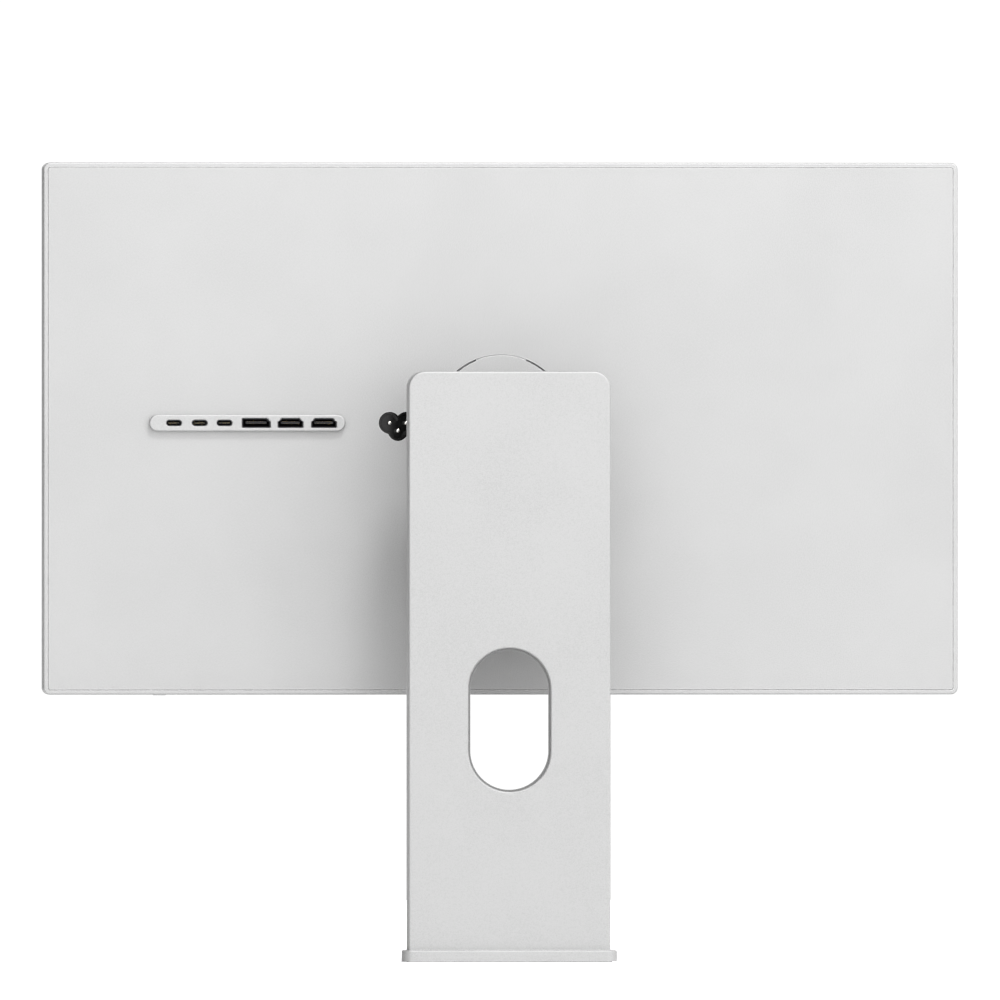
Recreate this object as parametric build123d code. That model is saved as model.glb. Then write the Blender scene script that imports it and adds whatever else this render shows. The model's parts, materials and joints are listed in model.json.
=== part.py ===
"""All-in-one desktop computer on a lift, tilt and pivot stand.

A flat aluminium display housing hangs on a round hub plate. The hub plate sits on a tilt yoke, the yoke
on an arm, and the arm on a carriage that runs on two rods inside a flat column. The column stands on a
thin foot. Each function below makes one node, and the names of the nodes are the names of the files.

Millimetres. +Z is up, the screen faces -Y, and the origin is the middle of the foot on the desk.
"""

from build123d import *
from math import cos, radians, sin
import os

# Display housing
panel_width = 550.0
panel_height = 319.4
panel_depth = 24.0
panel_mid_z = 319.05
panel_rear_y = 6.0
panel_corner = 4.2
rim = 2.65  # wall of the frame, and the rim that shows round the rear cover
seam = 0.25  # gap between the frame and the rear cover
edge_round = 1.0
cover_thick = 1.5
ledge_wide = 5.0
rear_ledge_d = (cover_thick + 0.05, cover_thick + 1.85)
front_ledge_d = (20.9, 21.9)
hook_long, hook_thick, hook_reach = 12.0, 1.6, 6.0
hook_x = (-220.0, -132.0, -44.0, 44.0, 132.0, 220.0)

# Screen
active_width = 527.0
active_height = 296.5
tray_width = 534.0
tray_height = 303.0
glass_gap = 0.25

# Layers of the display, as (rear, front) depths below its rear face
recess_ring_d = (cover_thick, 5.0)
hub_plate_d = (5.0, 7.5)
pivot_washer_d = (7.55, 8.4)
wave_washer_d = (8.45, 9.6)
pivot_nut_d = (9.65, 12.6)
fan_case_d = (3.0, 14.0)
power_board_d = (12.5, 14.1)
drive_d = (4.5, 11.5)
tray_d = (15.6, 20.1)
guide_d = (16.4, 19.4)
cell_d = (20.2, 21.6)
mask_d = (21.9, 22.1)
glass_d = (22.1, 23.8)

# Hub, where the display turns on the stand
hub_z = 322.3
hub_disc_r = 41.0
hub_gap = 0.35
hub_proud = 1.2
hub_slit_deep = 0.8
hub_slit_from, hub_slit_to = 21.6, 62.0  # degrees from the top of the disc
ring_wide = 3.6
hub_plate_size, hub_plate_corner = (92.0, 120.0), 8.0
hub_post_x, hub_post_z, hub_post_r = 38.0, 52.0, 5.0
spigot_r = 12.0
spigot_bore_r = 7.0
hub_thick = 4.7  # how far the plate reaches in past the rear face
hub_edge = 0.4
flare, flare_deep = 4.0, 2.0  # head of the spigot, let into the plate
nut_wide = 6.0
nut_notch_r, nut_notches = 2.0, 6
wave_sheet = 0.6
running = 0.05  # radial clearance of everything that turns

# Port strip
strip_x, strip_z = 152.6, 322.4
strip_long, strip_tall, strip_proud = 117.8, 10.0, 4.0
oval_x = (196.7, 181.3, 166.4)
notched_x = 147.3
stepped_x = (126.7, 106.6)
port_chamfer = 0.45

# Mains inlet, a three-lobed one
inlet_x, inlet_z = 61.9, 322.5
inlet_pin_half = 5.0
inlet_earth_drop = 4.75
inlet_depth, inlet_recess = 14.5, 11.5
inlet_pin_r, inlet_pin_sink, inlet_pin_tip = 1.2, 1.2, 0.7
inlet_flange = (26.0, 24.0)
lead_r = 2.6
inlet_ear_r, inlet_chin_r, inlet_wall = 6.5, 6.0, 1.35
inlet_lip = 0.3

# Column
column_width = 121.0
column_depth = 22.0
column_rear_y = 94.0
column_top_z = 353.2
column_corner = 10.0
column_wall = 2.5
column_edge = 1.2
hole_width, hole_height, hole_mid_z = 49.0, 85.7, 144.7
hole_edge = 1.1
liner_wall = 2.0
liner_lip, liner_lip_deep = 1.1, 2.0  # the lip that shows inside the rear of the hole
front_cover_thick = 2.0

# Foot
foot_width = 129.8
foot_taper = 12.0  # how much each side comes in from the rear to the front
foot_depth = 196.0
foot_top_z = 7.0
foot_thin_z = 3.2
foot_corner = 6.5
pad_thick = 0.8
pad_proud = 0.3
pad_inset = 3.0
pad_clear = 0.15
foot_screw_x = (-34.0, -15.0, 15.0, 34.0)
foot_screw_r, foot_head_r, foot_head_z, foot_screw_top_z = 2.5, 4.5, 3.5, 16.0
foot_key_r = 1.6  # hexagon in the screw's head, corner radius and depth
foot_edge = 0.8
foot_ramp_margin = 4.0

# Lift
lift_up, lift_down = 8.0, 102.0
rail_x, rail_r = 46.0, 4.0
bush_r = 6.0
bush_tall = 14.0
foot_block_tall = 13.0
carriage_half = 54.0
carriage_corner = 3.0
arm_half = 21.0
arm_tall = 14.0
arm_neck = 24.0  # from the hinge to where the arm has its full height
arm_screw_r, arm_head_r, arm_head_tall, arm_sink = 2.0, 3.5, 3.6, 4.4
arm_key_r = 1.5
arm_screw_reach = 11.5
drum_x, drum_drop = 28.0, 8.0
tape_r = 9.5  # radius at which the spring tape leaves the drum
tape_thick = 0.3
tape_wide = 8.0
drum_post_r = 2.5
drum_half = 4.2  # half the width of the coil
flange_r, flange_thick = 6.5, 0.6

# Tilt hinge
tilt_y = 36.0
barrel_r = 13.0
tilt_shaft_r = 4.0
cheek_in, cheek_out = 22.0, 32.0
yoke_plate = 9.8
yoke_half_tall = 20.0
yoke_edge = 2.5
cap_thick, cap_bore_r, cap_bore_deep, cap_edge = 2.0, 9.0, 5.5, 0.4
tilt_washer_r, tilt_washer_thick = 10.0, 0.9
tilt_nut_r, tilt_nut_thick = 7.0, 3.2

# Screws that hold the hub plate on the yoke
disc_screw_r, disc_head_r, disc_head_tall, disc_screw_reach = 2.0, 3.8, 2.4, 6.5

# Cooling and sound
fan_x, fan_z, fan_r = 35.0, 413.0, 23.5
fan_axle_r, fan_hub_r = 2.0, 9.0
rotor_d = (4.4, 12.2)
blades = 13
speaker_x, speaker_low_z = 172.0, 170.5
speaker_wide, speaker_tall = 96.0, 36.0
speaker_d = (3.0, 14.4)

# Camera, in the middle of the upper border
camera_drop = 2.55
camera_notch = (11.0, 5.4)
camera_board, camera_board_d = (9.0, 4.2), (17.5, 20.9)
lens_r, lens_bore_r, lens_end_d, lens_bore_d = 1.9, 1.2, 21.7, 21.2
mask_window_r = 1.6

# Power button, under the lower edge near the right-hand corner
button_x, button_r, button_travel = 205.0, 4.0, 0.8
button_proud, flange_tall, switch_tall = 0.4, 0.8, 3.4

# Derived places
column_front_y = column_rear_y - column_depth
carriage_front_y = column_front_y + front_cover_thick + 1.0
carriage_rear_y = column_rear_y - column_wall - 1.5
rail_y = (carriage_front_y + carriage_rear_y) / 2
carriage_low_z, carriage_high_z = hub_z - 28.0, hub_z + 14.0
drum_z = hub_z - drum_drop
top_bracket_z = 345.5
tape_span_y = (rail_y - tape_wide / 2, rail_y + tape_wide / 2)
rail_low_z, rail_high_z = foot_top_z + 5, top_bracket_z + 3
inside_column_y = (column_front_y + front_cover_thick + 0.2, column_rear_y - column_wall)
inner_width = panel_width - 2 * rim
inner_height = panel_height - 2 * rim
lower_z = panel_mid_z - panel_height / 2
upper_z = panel_mid_z + panel_height / 2
camera_z = upper_z - rim - camera_drop


def depth(d):
    """Y of a plane that lies d in front of the display's rear face."""
    return panel_rear_y - d


def slab(sketch, y_low, y_high):
    """A sketch drawn with X across and Z up, made solid between two Y planes."""
    return extrude(Plane.XZ.offset(-y_high) * sketch, amount=y_high - y_low)


def layer(sketch, d_rear, d_front):
    """A sketch made solid between two depths below the display's rear face."""
    return slab(sketch, depth(d_front), depth(d_rear))


def at(x, z, sketch):
    """A sketch moved to a place on the XZ plane."""
    return Pos(x, z) * sketch


def rounded(width, height, radius):
    return RectangleRounded(width, height, radius)


def box(x, y, z):
    """A box from three (low, high) pairs."""
    size = [pair[1] - pair[0] for pair in (x, y, z)]
    middle = [(pair[0] + pair[1]) / 2 for pair in (x, y, z)]
    return Pos(*middle) * Box(*size)


def rod_y(x, z, radius, y_low, y_high):
    return slab(at(x, z, Circle(radius)), y_low, y_high)


def rod_x(y, z, radius, x_low, x_high):
    return Pos(x_low, y, z) * extrude(Plane.YZ * Circle(radius), amount=x_high - x_low)


def rod_z(x, y, radius, z_low, z_high):
    return Pos(x, y, z_low) * extrude(Circle(radius), amount=z_high - z_low)


def pill(width, height):
    """An upright or lying stadium outline."""
    if width > height:
        return SlotOverall(width, height)
    return Rot(0, 0, 90) * SlotOverall(height, width)


def group(solids):
    """Separate solids that share one node."""
    return Compound(children=list(solids))


# ---------------------------------------------------------------- stand


def foot_outline(margin):
    """The foot from above, a little narrower in front, taken in by a margin."""
    half, deep, radius = foot_width / 2 - margin, foot_depth / 2 - margin, foot_corner - margin
    narrow = half - foot_taper
    sides = Polyline((-narrow, -deep), (narrow, -deep), (half, deep), (-half, deep), close=True)
    outline = make_face(sides)
    return fillet(outline.vertices(), radius)


def foot_plate():
    half = foot_depth / 2
    ramp_rear, ramp_front = column_front_y - foot_ramp_margin, panel_rear_y + foot_ramp_margin
    mid_y, mid_z = (ramp_rear + ramp_front) / 2, (foot_top_z + foot_thin_z) / 2
    above = foot_top_z + 5
    with BuildSketch(Plane.YZ) as cutter:
        with BuildLine():
            back = Line((half + 1, above), (ramp_rear, above))
            wall = Line(back @ 1, (ramp_rear, foot_top_z))
            upper = TangentArc((ramp_rear, foot_top_z), (mid_y, mid_z), tangent=(-1, 0))
            lower = TangentArc(upper @ 1, (ramp_front, foot_thin_z), tangent=upper % 1)
            front = Line(lower @ 1, (-half - 1, foot_thin_z))
            Polyline(front @ 1, (-half - 1, above + 1), (half + 1, above + 1), back @ 0)
        make_face()
    plate = Pos(0, 0, pad_proud) * extrude(foot_outline(0), amount=foot_top_z - pad_proud)
    plate -= extrude(cutter.sketch, amount=foot_width, both=True)
    rims = plate.edges().filter_by_position(Axis.Z, foot_thin_z - 0.1, foot_top_z + 0.1)
    plate = fillet(rims, foot_edge)
    plate -= extrude(foot_outline(pad_inset), amount=pad_thick)
    for x in foot_screw_x:
        plate -= rod_z(x, rail_y, foot_screw_r + 0.25, 0, foot_top_z + 1)
        plate -= rod_z(x, rail_y, foot_head_r + 0.25, 0, foot_head_z + 0.1)
    return plate


def foot_pad():
    return extrude(foot_outline(pad_inset + pad_clear), amount=pad_thick)


def foot_screws():
    screws = []
    for x in foot_screw_x:
        head_low = pad_thick + 0.1
        screw = rod_z(x, rail_y, foot_head_r, head_low, foot_head_z)
        screw += rod_z(x, rail_y, foot_screw_r, foot_head_z, foot_screw_top_z)
        socket = Pos(x, rail_y, head_low) * extrude(RegularPolygon(foot_key_r, 6), amount=foot_key_r)
        screws.append(screw - socket)
    return group(screws)


def column_outline(margin):
    """The column's outline from the rear, taken in by a margin: round at the top, square at the foot."""
    width = column_width - 2 * margin
    top = column_top_z - margin
    radius = column_corner - margin
    tall = top - foot_top_z
    mid = (top + foot_top_z) / 2
    return at(0, mid, Rectangle(width, tall)) - at(
        0, mid, Rectangle(width, tall) - at(0, -radius, rounded(width, tall + 2 * radius, radius))
    )


def column_hole(grow=0.0):
    return at(0, hole_mid_z, pill(hole_width + 2 * grow, hole_height + 2 * grow))


def column_shell():
    shell = slab(column_outline(0), column_front_y, column_rear_y)
    rear_rim = shell.faces().sort_by(Axis.Y)[-1].edges().filter_by_position(
        Axis.Z, foot_top_z + 1, column_top_z + 1
    )
    shell = fillet(rear_rim, column_edge)
    shell -= slab(column_outline(column_wall), column_front_y, column_rear_y - column_wall)
    shell -= slab(column_hole(), column_front_y, column_rear_y)
    hole_rim = [
        edge
        for edge in shell.edges()
        if abs(edge.center().Y - column_rear_y) < 0.01
        and abs(edge.center().X) < hole_width / 2 + 1
        and abs(edge.center().Z - hole_mid_z) < hole_height / 2 + 1
    ]
    return fillet(hole_rim, hole_edge)


def column_front_cover():
    cover = slab(
        column_outline(column_wall + 0.1), column_front_y, column_front_y + front_cover_thick
    )
    cover -= slab(column_hole(), column_front_y, column_rear_y)
    slot_low = hub_z - lift_down - arm_tall - 1
    slot_high = hub_z + lift_up + arm_tall + 1
    slot = at(0, (slot_low + slot_high) / 2, rounded(2 * arm_half + 4, slot_high - slot_low, 3))
    return cover - slab(slot, column_front_y, column_rear_y)


def cable_hole_liner():
    """A tube through the column, with a lip at its rear that covers the sheet's cut edge."""
    front_y, rear_y = column_front_y + front_cover_thick, column_rear_y - column_wall
    outer = column_hole(liner_wall)
    tube = slab(outer - column_hole(), front_y, rear_y)
    return tube + slab(outer - column_hole(-liner_lip), rear_y - liner_lip_deep, rear_y)


def column_foot_block():
    low, high = foot_top_z, foot_top_z + foot_block_tall
    half = column_width / 2 - column_wall - 1
    block = box((-half, half), inside_column_y, (low, high))
    for x in foot_screw_x:
        block -= rod_z(x, rail_y, foot_screw_r, low, foot_screw_top_z + 0.5)
    for x in (-rail_x, rail_x):
        block -= rod_z(x, rail_y, rail_r, rail_low_z, high)
    return block


def rail_top_bracket():
    high = column_top_z - column_wall - 0.3
    half = column_width / 2 - column_corner - 1
    bracket = box((-half, half), inside_column_y, (top_bracket_z, high))
    for x in (-rail_x, rail_x):
        bracket -= rod_z(x, rail_y, rail_r, top_bracket_z, rail_high_z)
    return bracket


def guide_rails():
    return group(
        rod_z(x, rail_y, rail_r, rail_low_z, rail_high_z) for x in (-rail_x, rail_x)
    )


def spring_tapes():
    """The straight run of each spring tape, from its drum up to the top bracket."""
    tapes = []
    for side in (-1, 1):
        middle = side * (drum_x - tape_r)
        across = (middle - tape_thick / 2, middle + tape_thick / 2)
        tapes.append(box(across, tape_span_y, (drum_z, top_bracket_z)))
    return group(tapes)


# ---------------------------------------------------------------- carriage and arm

arm_screw_places = [(x, z) for x in (-12.0, 12.0) for z in (-8.0, 8.0)]


def lift_carriage():
    across = (-carriage_half, carriage_half)
    block = box(across, (carriage_front_y, carriage_rear_y), (carriage_low_z, carriage_high_z))
    block = fillet(block.edges().filter_by(Axis.Y), carriage_corner)
    for side in (-1, 1):
        block -= rod_z(side * rail_x, rail_y, bush_r, carriage_low_z, carriage_high_z)
        pocket_front = rail_y - 5
        block -= rod_y(side * drum_x, drum_z, tape_r + 1.1, pocket_front, carriage_rear_y)
        tape_x = side * (drum_x - tape_r)
        block -= box(
            (tape_x - 1.2, tape_x + 1.2), (pocket_front, carriage_rear_y), (drum_z, carriage_high_z)
        )
        block += rod_y(side * drum_x, drum_z, drum_post_r, pocket_front, rail_y + 5)
    for x, z in arm_screw_places:
        block -= rod_y(x, hub_z + z, arm_screw_r + 0.2, carriage_front_y, carriage_rear_y)
        block -= rod_y(x, hub_z + z, arm_head_r + 0.3, carriage_rear_y - arm_sink, carriage_rear_y)
    return block


def carriage_bushes():
    ring = Circle(bush_r) - Circle(rail_r + running)
    bushes = []
    for x in (-rail_x, rail_x):
        for z in (carriage_low_z, carriage_high_z - bush_tall):
            bushes.append(Pos(x, rail_y, z) * extrude(ring, amount=bush_tall))
    return group(bushes)


def lift_arm():
    with BuildSketch(Plane.YZ) as side:
        with Locations((tilt_y, hub_z)):
            Circle(barrel_r)
        with Locations(((carriage_front_y + tilt_y + arm_neck) / 2, hub_z)):
            Rectangle(carriage_front_y - tilt_y - arm_neck, 2 * arm_tall)
        make_hull()
    arm = extrude(side.sketch, amount=arm_half, both=True)
    arm = fillet(arm.edges().filter_by(Axis.Y), 2.0)
    arm -= rod_x(tilt_y, hub_z, tilt_shaft_r + running, -arm_half, arm_half)
    for x, z in arm_screw_places:
        tapped_y = carriage_front_y - arm_screw_reach - 0.5
        arm -= rod_y(x, hub_z + z, arm_screw_r, tapped_y, carriage_front_y)
    return arm


def arm_screws():
    screws = []
    for x, z in arm_screw_places:
        low, high = carriage_rear_y - arm_sink, carriage_rear_y - arm_sink + arm_head_tall
        screw = rod_y(x, hub_z + z, arm_head_r, low, high)
        screw += rod_y(x, hub_z + z, arm_screw_r, carriage_front_y - arm_screw_reach, low)
        key = slab(at(x, hub_z + z, RegularPolygon(arm_key_r, 6)), high - arm_head_tall / 2, high)
        screws.append(screw - key)
    return group(screws)


def spring_drum(side):
    """A coiled spring tape on its drum: the coil, with a flange at each end."""
    hole = Circle(drum_post_r + running)
    coil = Circle(tape_r - tape_thick) - hole
    drum = slab(at(side * drum_x, drum_z, coil), rail_y - drum_half, rail_y + drum_half)
    for low in (rail_y - drum_half - flange_thick, rail_y + drum_half):
        drum += slab(at(side * drum_x, drum_z, Circle(flange_r) - hole), low, low + flange_thick)
    return drum


# ---------------------------------------------------------------- tilt head

disc_screw_places = [(x, z) for x in (-24.0, 24.0) for z in (-14.0, 14.0)]
disc_rear_y = panel_rear_y + hub_proud
disc_front_y = depth(hub_thick)


def tilt_yoke():
    """Two cheeks on a plate that is screwed to the hub plate."""
    neck_y = disc_rear_y + yoke_plate
    end_y = tilt_y + barrel_r + 1
    with BuildSketch(Plane.YZ) as side:
        with Locations((tilt_y, hub_z)):
            Circle(barrel_r)
        with Locations(((disc_rear_y + neck_y) / 2, hub_z)):
            Rectangle(yoke_plate, 2 * yoke_half_tall)
        make_hull()
    yoke = extrude(side.sketch, amount=cheek_out, both=True)
    outer = yoke.edges().filter_by(Axis.X, reverse=True)
    yoke = fillet(outer.filter_by_position(Axis.Y, disc_rear_y + 0.5, end_y), yoke_edge)
    yoke -= box((-cheek_in, cheek_in), (neck_y, end_y), (hub_z - 30, hub_z + 30))
    yoke -= rod_x(tilt_y, hub_z, tilt_shaft_r, -cheek_out, cheek_out)
    for low in (-cheek_out, cheek_out - cap_bore_deep):
        yoke -= rod_x(tilt_y, hub_z, cap_bore_r, low, low + cap_bore_deep)
    for x, z in disc_screw_places:
        yoke -= rod_y(x, hub_z + z, disc_screw_r, disc_rear_y, disc_rear_y + disc_screw_reach + 0.5)
    yoke -= rod_y(0, hub_z, spigot_bore_r, disc_rear_y, neck_y)
    return yoke


def tilt_shaft():
    half = cheek_out - cap_thick - 0.2
    return rod_x(tilt_y, hub_z, tilt_shaft_r - 0.01, -half, half)


def tilt_friction_washers():
    washers = []
    for low in (arm_half + running, -cheek_in + running):
        high = low + tilt_washer_thick
        ring = rod_x(tilt_y, hub_z, tilt_washer_r, low, high)
        washers.append(ring - rod_x(tilt_y, hub_z, tilt_shaft_r + 0.02, low, high))
    return group(washers)


def tilt_nuts():
    nuts = []
    for low in (cheek_out - cap_thick - 0.2 - tilt_nut_thick, -cheek_out + cap_thick + 0.2):
        outline = Plane.YZ * RegularPolygon(tilt_nut_r, 6)
        body = Pos(low, tilt_y, hub_z) * extrude(outline, amount=tilt_nut_thick)
        nuts.append(body - rod_x(tilt_y, hub_z, tilt_shaft_r, low, low + tilt_nut_thick))
    return group(nuts)


def tilt_end_caps():
    caps = []
    for low, high in ((cheek_out - cap_thick, cheek_out), (-cheek_out, -cheek_out + cap_thick)):
        cap = rod_x(tilt_y, hub_z, cap_bore_r - running, low, high)
        outer = cap.faces().sort_by(Axis.X)[-1 if low > 0 else 0]
        caps.append(chamfer(outer.edges(), cap_edge))
    return group(caps)


def edge_slits():
    """The two dark slits cut into the plate's edge, one on each side, drawn round its centre."""
    ring = Circle(hub_disc_r + 2) - Circle(hub_disc_r - hub_slit_deep)
    reach = 1.25 * hub_disc_r
    slits = Sketch()
    for side in (-1, 1):
        angles = (hub_slit_from, (hub_slit_from + hub_slit_to) / 2, hub_slit_to)
        turns = [radians(90 - side * a) for a in angles]
        corners = [(0, 0)] + [(reach * cos(a), reach * sin(a)) for a in turns]
        slits += ring & make_face(Polyline(*corners, close=True))
    return slits


def mount_disc():
    disc = rod_y(0, hub_z, hub_disc_r, disc_front_y, disc_rear_y)
    disc = chamfer(disc.faces().sort_by(Axis.Y)[-1].edges(), hub_edge)
    disc -= slab(at(0, hub_z, edge_slits()), disc_front_y, disc_rear_y)
    disc -= rod_y(0, hub_z, spigot_r, disc_front_y, disc_rear_y)
    disc -= rod_y(0, hub_z, spigot_r + flare, disc_rear_y - flare_deep, disc_rear_y)
    for x, z in disc_screw_places:
        disc -= rod_y(x, hub_z + z, disc_screw_r + 0.2, disc_front_y, disc_rear_y)
        disc -= rod_y(x, hub_z + z, disc_head_r + 0.2, disc_front_y, disc_front_y + disc_head_tall)
    return disc


def disc_screws():
    screws = []
    for x, z in disc_screw_places:
        shank_y = disc_front_y + disc_head_tall
        screw = rod_y(x, hub_z + z, disc_head_r, disc_front_y + 0.1, shank_y)
        screw += rod_y(x, hub_z + z, disc_screw_r - 0.02, shank_y, disc_rear_y + disc_screw_reach)
        screws.append(screw)
    return group(screws)


def pivot_spigot():
    inner_end = depth(pivot_nut_d[1] + 0.2)
    tube = rod_y(0, hub_z, spigot_r, inner_end, disc_rear_y)
    tube += rod_y(0, hub_z, spigot_r + flare - 0.05, disc_rear_y - flare_deep + 0.05, disc_rear_y)
    return tube - rod_y(0, hub_z, spigot_bore_r, inner_end, disc_rear_y)


def pivot_wave_washer():
    """A sprung conical washer that keeps the hub tight."""
    inner, outer = spigot_r + 0.1, spigot_r + nut_wide
    near, far = wave_washer_d
    with BuildSketch(Plane.XY) as profile:
        with BuildLine():
            Polyline(
                (inner, depth(far)),
                (inner, depth(far - wave_sheet)),
                (outer, depth(near)),
                (outer, depth(near + wave_sheet)),
                close=True,
            )
        make_face()
    return Pos(0, 0, hub_z) * revolve(profile.sketch, Axis.Y)


def pivot_nut():
    """A ring nut, notched for a pin spanner."""
    notches = PolarLocations(spigot_r + nut_wide, nut_notches) * Circle(nut_notch_r)
    ring = Circle(spigot_r + nut_wide) - Circle(spigot_r) - notches
    return layer(at(0, hub_z, ring), *pivot_nut_d)


# ---------------------------------------------------------------- display housing


def housing_outline(grow):
    """The frame's inner outline, grown or taken in."""
    radius = max(panel_corner - rim + grow, 0.8)
    return at(0, panel_mid_z, rounded(inner_width + 2 * grow, inner_height + 2 * grow, radius))


vent_windows = [  # (middle x, length, lower or upper wall)
    (0.0, 240.0, "lower"),
    (-168.0, 58.0, "lower"),
    (168.0, 58.0, "lower"),
    (0.0, 180.0, "upper"),
]
vent_wide = 9.0
vent_mid_y = depth(9.0)


def vent_box(x, long, wall, clear=0.0):
    z = (lower_z, lower_z + rim) if wall == "lower" else (upper_z - rim, upper_z)
    half_x, half_y = long / 2 + clear, vent_wide / 2 + clear
    return box((x - half_x, x + half_x), (vent_mid_y - half_y, vent_mid_y + half_y), z)


def perimeter_frame():
    outer = at(0, panel_mid_z, rounded(panel_width, panel_height, panel_corner))
    frame = layer(outer, 0, panel_depth)
    frame = fillet(frame.faces().sort_by(Axis.Y)[-1].edges(), edge_round)
    frame = fillet(frame.faces().sort_by(Axis.Y)[0].edges(), 0.6)
    frame -= layer(housing_outline(0), 0, panel_depth)
    ledge = housing_outline(0.4) - housing_outline(-ledge_wide)
    frame += layer(ledge, *rear_ledge_d) + layer(ledge, *front_ledge_d)
    frame -= layer(at(0, camera_z, Rectangle(*camera_notch)), front_ledge_d[0] - 0.9, front_ledge_d[1] + 0.05)
    for x, long, wall in vent_windows:
        frame -= vent_box(x, long, wall, clear=0.05)
    frame -= rod_z(button_x, vent_mid_y, button_r + 0.15, lower_z - 1, lower_z + rim + 1)
    return frame


def vent_grilles():
    slot_wide, slot_long, pitch = 1.3, 6.2, 2.6
    grilles = []
    for x, long, wall in vent_windows:
        count = int((long - 3) // pitch)
        plate = Rectangle(long, vent_wide)
        plate -= GridLocations(pitch, 1, count, 1) * pill(slot_wide, slot_long)
        base = lower_z if wall == "lower" else upper_z - rim
        grilles.append(Pos(x, vent_mid_y, base) * extrude(plate, amount=rim))
    return group(grilles)


inlet_pin_places = [
    (inlet_x - inlet_pin_half, inlet_z),
    (inlet_x + inlet_pin_half, inlet_z),
    (inlet_x, inlet_z - inlet_earth_drop),
]


def inlet_lobes(ear_r, chin_r):
    """Three round lobes that run into each other, two above and one below."""
    radii = (ear_r, ear_r, chin_r)
    return Sketch() + [at(x, z, Circle(radius)) for (x, z), radius in zip(inlet_pin_places, radii)]


def rear_cover():
    cover = layer(housing_outline(-seam), 0, cover_thick)
    cover = chamfer(cover.faces().sort_by(Axis.Y)[-1].edges(), 0.2)
    cover -= rod_y(0, hub_z, hub_disc_r + hub_gap, depth(cover_thick), panel_rear_y)
    cover -= layer(at(strip_x, strip_z, pill(strip_long - 4, strip_tall - 3)), 0, cover_thick)
    cover -= layer(inlet_lobes(inlet_ear_r + 0.15, inlet_chin_r + 0.15), 0, cover_thick)
    hook_z = inner_height / 2 - ledge_wide - 1.2
    hook = Rectangle(hook_long, hook_thick)
    for x in hook_x:
        for side in (-1, 1):
            cover += layer(at(x, panel_mid_z + side * hook_z, hook), cover_thick, hook_reach)
    return cover


def hub_recess_ring():
    hole = hub_disc_r + hub_gap
    return layer(at(0, hub_z, Circle(hole + ring_wide) - Circle(hole)), *recess_ring_d)


def hub_mount_plate():
    """The plate that carries the display on the spigot, with four posts on to the tray."""
    sheet = rounded(*hub_plate_size, hub_plate_corner) - Circle(spigot_r + running)
    plate = layer(at(0, hub_z, sheet), *hub_plate_d)
    for x in (-hub_post_x, hub_post_x):
        for z in (-hub_post_z, hub_post_z):
            plate += layer(at(x, hub_z + z, Circle(hub_post_r)), hub_plate_d[1], tray_d[0] - 0.1)
    return plate


def pivot_friction_washer():
    return layer(at(0, hub_z, Circle(spigot_r + 8) - Circle(spigot_r + 0.1)), *pivot_washer_d)


def oval_outline(grow=0.0):
    return pill(8.94 + 2 * grow, 3.26 + 2 * grow)


def stepped_outline(grow=0.0):
    """Wide below, with two stepped shoulders above."""
    wide, tall = 7.45 + grow, 2.7 + grow
    neck = 5.75 + grow * 0.8
    points = [
        (-wide, -tall),
        (wide, -tall),
        (wide, 0.9),
        (wide - 1.0, 1.25 + grow * 0.3),
        (neck - 0.35, tall),
        (-neck + 0.35, tall),
        (-wide + 1.0, 1.25 + grow * 0.3),
        (-wide, 0.9),
    ]
    face = make_face(Polyline(*points, close=True))
    return fillet(face.vertices(), 0.35)


def notched_outline(grow=0.0):
    """A rectangle with one upper corner cut off, on the side away from the oval sockets."""
    wide, tall, cut = 8.4 + grow, 2.7 + grow, 2.0
    points = [
        (wide, -tall),
        (wide, tall),
        (-wide + cut, tall),
        (-wide, tall - cut),
        (-wide, -tall),
    ]
    face = make_face(Polyline(*points, close=True))
    return fillet(face.vertices(), 0.35)


socket_front_y = panel_rear_y + strip_proud - 0.25
board_rear_d = 8.0
port_clear = 0.15


def port_places():
    """Every socket's place, with the outline that it has."""
    places = [(x, oval_outline) for x in oval_x]
    places.append((notched_x, notched_outline))
    places += [(x, stepped_outline) for x in stepped_x]
    return places


def port_strip():
    face_y = panel_rear_y + strip_proud
    bar = slab(at(strip_x, strip_z, pill(strip_long, strip_tall)), panel_rear_y, face_y)
    bar = fillet(bar.faces().sort_by(Axis.Y)[-1].edges(), 0.9)
    skirt = at(strip_x, strip_z, pill(strip_long - 4.3, strip_tall - 3.3))
    bar += slab(skirt, depth(cover_thick + 0.6), panel_rear_y)
    for x, outline in port_places():
        bar -= slab(at(x, strip_z, outline(port_clear)), depth(4), face_y)
        bar -= extrude(
            Plane.XZ.offset(-face_y - 0.01) * at(x, strip_z, outline(port_clear + port_chamfer)),
            amount=port_chamfer + 0.01,
            taper=45,
        )
    return bar


def socket(x, outline, wall, floor_d):
    """A drawn metal shell, open to the rear, with a closed floor on the board."""
    shell = slab(at(x, strip_z, outline()), depth(board_rear_d), socket_front_y)
    hollow = slab(at(x, strip_z, outline(-wall)), depth(floor_d), socket_front_y)
    return shell - hollow


def oval_sockets():
    return group(socket(x, oval_outline, 0.3, board_rear_d - 1) for x in oval_x)


def stepped_video_sockets():
    return group(socket(x, stepped_outline, 0.4, board_rear_d - 1) for x in stepped_x)


def notched_video_socket():
    return socket(notched_x, notched_outline, 0.4, board_rear_d - 1)


def tongue(x, lift, width, thick):
    """The blade inside a socket, from its floor out to a little below its mouth."""
    blade = rounded(width, thick, 0.2)
    return slab(at(x, strip_z + lift, blade), depth(board_rear_d - 1), socket_front_y - 1.1)


def oval_socket_tongues():
    return group(tongue(x, 0, 6.7, 0.7) for x in oval_x)


def video_socket_tongues():
    wide = [tongue(x, 0.2, 11.2, 1.3) for x in stepped_x]
    return group(wide + [tongue(notched_x, 0.3, 12.4, 1.4)])


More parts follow.
